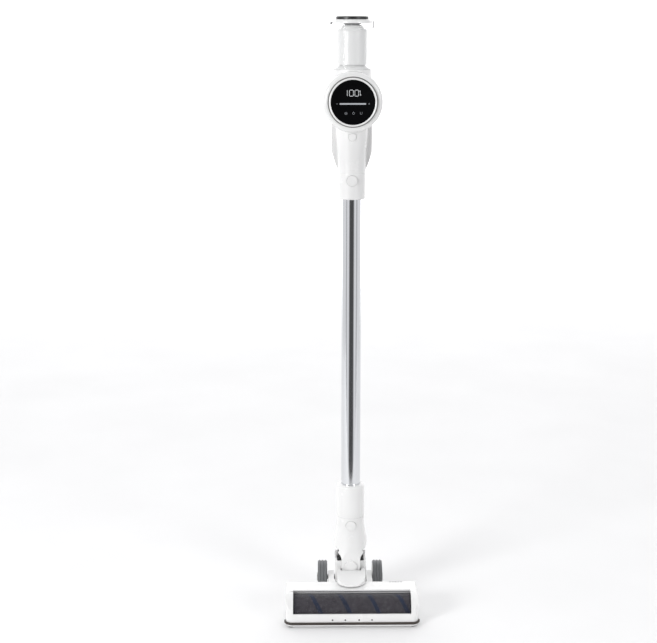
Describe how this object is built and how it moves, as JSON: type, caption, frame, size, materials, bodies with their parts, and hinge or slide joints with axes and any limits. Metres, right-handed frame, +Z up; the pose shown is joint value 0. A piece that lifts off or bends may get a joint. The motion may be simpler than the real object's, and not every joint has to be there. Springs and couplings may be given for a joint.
{
  "type": "cordless stick vacuum cleaner",
  "caption": "White cordless stick vacuum with a windowed roller head, tilting neck, aluminium wand, round display, clear dust cup and rear loop handle.",
  "frame": {"origin": "on the floor, under the middle of the part's bounding box; the wand's axis is 15 mm behind it", "axes": "+Z up along the wand, -Y towards the front (the display and roller side), +X to the right as seen from the front"},
  "size_m": [0.25, 0.23, 1.096],
  "materials": {
    "white_gloss": "gloss",
    "light_plastic": "satin",
    "dark_plastic": "satin",
    "brushed_tube": "brushed",
    "machined_aluminium": "machined",
    "steel": "satin",
    "clear": "clear plastic",
    "frosted": "frosted plastic",
    "smoked": "smoked plastic",
    "display": "black glass, polished",
    "soft_black": "matte",
    "bumper_rubber": "matte",
    "tyre": "matte",
    "pile": "short pile",
    "board": "satin",
    "cell_wrap": "satin"
  },
  "bodies": {
    "head": {"sole_plate": "white_gloss", "head_cover": "white_gloss", "front_bumper": "bumper_rubber", "roller_window": "clear", "chamber_liner": "light_plastic", "headlight_lenses": "smoked", "brush_motor": "steel", "drive_belt": "soft_black", "head_duct": "light_plastic", "front_glides": "soft_black", "axle_left": "steel", "axle_right": "steel"},
    "roller": {"roller_core": "dark_plastic", "roller_sleeve": "pile", "roller_pulley": "dark_plastic"},
    "brush_rotor": {"motor_pulley": "steel"},
    "wheel_left": {"hub_left": "light_plastic", "tyre_left": "tyre"},
    "wheel_right": {"hub_right": "light_plastic", "tyre_right": "tyre"},
    "yoke": {"yoke_frame": "white_gloss", "yoke_fairing": "white_gloss", "neck_hose": "soft_black"},
    "neck": {"neck_body": "white_gloss", "lean_cap": "white_gloss"},
    "head_release": {"head_button": "white_gloss"},
    "wand": {"wand_bottom_coupler": "white_gloss", "wand_tube": "brushed_tube", "wand_top_coupler": "white_gloss", "wand_cable": "soft_black"},
    "wand_release": {"wand_button": "white_gloss"},
    "handset": {"neck_shell": "white_gloss", "drum_shell": "white_gloss", "drum_rear_cap": "white_gloss", "display_bezel": "white_gloss", "display_glass": "display", "display_board": "board", "motor_housing": "dark_plastic", "motor_stator": "steel", "inlet_duct": "light_plastic", "cyclone_seat": "white_gloss", "cyclone_body": "white_gloss", "mesh_shroud": "frosted", "vortex_finder": "dark_plastic", "cup_seal": "light_plastic", "handle_shell": "white_gloss"},
    "fan": {"impeller": "machined_aluminium"},
    "cup_release": {"cup_button": "white_gloss"},
    "power_trigger": {"trigger": "light_plastic"},
    "cup": {"dust_cup": "clear", "lid_hinge_pin": "steel"},
    "lid": {"cup_lid": "white_gloss", "lid_cap": "dark_plastic"},
    "lid_catch": {"lid_latch": "light_plastic"},
    "battery": {"battery_case": "white_gloss", "battery_cells": "cell_wrap", "charge_socket": "dark_plastic"},
    "battery_release": {"battery_latch": "light_plastic"}
  },
  "joints": [
    {"name": "roller_spin", "type": "hinge", "parent": "head", "child": "roller", "pos_m": [0, -0.081, 0.026], "axis": [1, 0, 0], "continuous": true},
    {"name": "brush_motor_spin", "type": "hinge", "parent": "head", "child": "brush_rotor", "pos_m": [0, -0.035, 0.028], "axis": [1, 0, 0], "continuous": true},
    {"name": "wheel_left_spin", "type": "hinge", "parent": "head", "child": "wheel_left", "pos_m": [0, 0.049, 0.032], "axis": [1, 0, 0], "continuous": true},
    {"name": "wheel_right_spin", "type": "hinge", "parent": "head", "child": "wheel_right", "pos_m": [0, 0.049, 0.032], "axis": [1, 0, 0], "continuous": true},
    {"name": "neck_tilt", "type": "hinge", "parent": "head", "child": "yoke", "pos_m": [0, 0.049, 0.032], "axis": [-1, 0, 0], "range_deg": [0, 80]},
    {"name": "neck_lean", "type": "hinge", "parent": "yoke", "child": "neck", "pos_m": [0, 0, 0.081], "axis": [0, 1, 0], "range_deg": [-22, 22], "deforming": ["neck_hose"]},
    {"name": "head_button_press", "type": "slide", "parent": "neck", "child": "head_release", "axis": [0, 1, 0], "range_m": [0, 0.0026], "stiffness_N_per_m": 600, "springref_m": -0.002},
    {"name": "wand_lift", "type": "slide", "parent": "neck", "child": "wand", "axis": [0, 0, 1], "range_m": [0, 0.06]},
    {"name": "wand_button_press", "type": "slide", "parent": "wand", "child": "wand_release", "axis": [0, 1, 0], "range_m": [0, 0.002], "stiffness_N_per_m": 600, "springref_m": -0.002},
    {"name": "handset_lift", "type": "slide", "parent": "wand", "child": "handset", "axis": [0, 0, 1], "range_m": [0, 0.06]},
    {"name": "fan_spin", "type": "hinge", "parent": "handset", "child": "fan", "pos_m": [0, 0.03, 0.9494], "axis": [0, 1, 0], "continuous": true},
    {"name": "cup_button_press", "type": "slide", "parent": "handset", "child": "cup_release", "axis": [0, 1, 0], "range_m": [0, 0.002], "stiffness_N_per_m": 600, "springref_m": -0.002},
    {"name": "trigger_pull", "type": "slide", "parent": "handset", "child": "power_trigger", "axis": [0, 1, 0], "range_m": [0, 0.004], "stiffness_N_per_m": 500, "springref_m": -0.003},
    {"name": "cup_lift", "type": "slide", "parent": "handset", "child": "cup", "axis": [0, 0, 1], "range_m": [0, 0.09]},
    {"name": "lid_open", "type": "hinge", "parent": "cup", "child": "lid", "pos_m": [-0.0374, 0.015, 1.084], "axis": [0, -1, 0], "range_deg": [0, 100]},
    {"name": "lid_latch_tilt", "type": "hinge", "parent": "cup", "child": "lid_catch", "pos_m": [0.0364, 0.015, 1.076], "axis": [0, 1, 0], "range_deg": [0, 12], "stiffness_Nm_per_rad": 0.05, "springref_deg": -11.46},
    {"name": "battery_slide", "type": "slide", "parent": "handset", "child": "battery", "axis": [0, 1, 0], "range_m": [0, 0.07]},
    {"name": "battery_latch_press", "type": "slide", "parent": "battery", "child": "battery_release", "axis": [0, -1, 0], "range_m": [0, 0.0012], "stiffness_N_per_m": 600, "springref_m": -0.002}
  ],
  "couplings": [
    {"joint": "brush_motor_spin", "follows": "roller_spin", "ratio": 1.5}
  ]
}
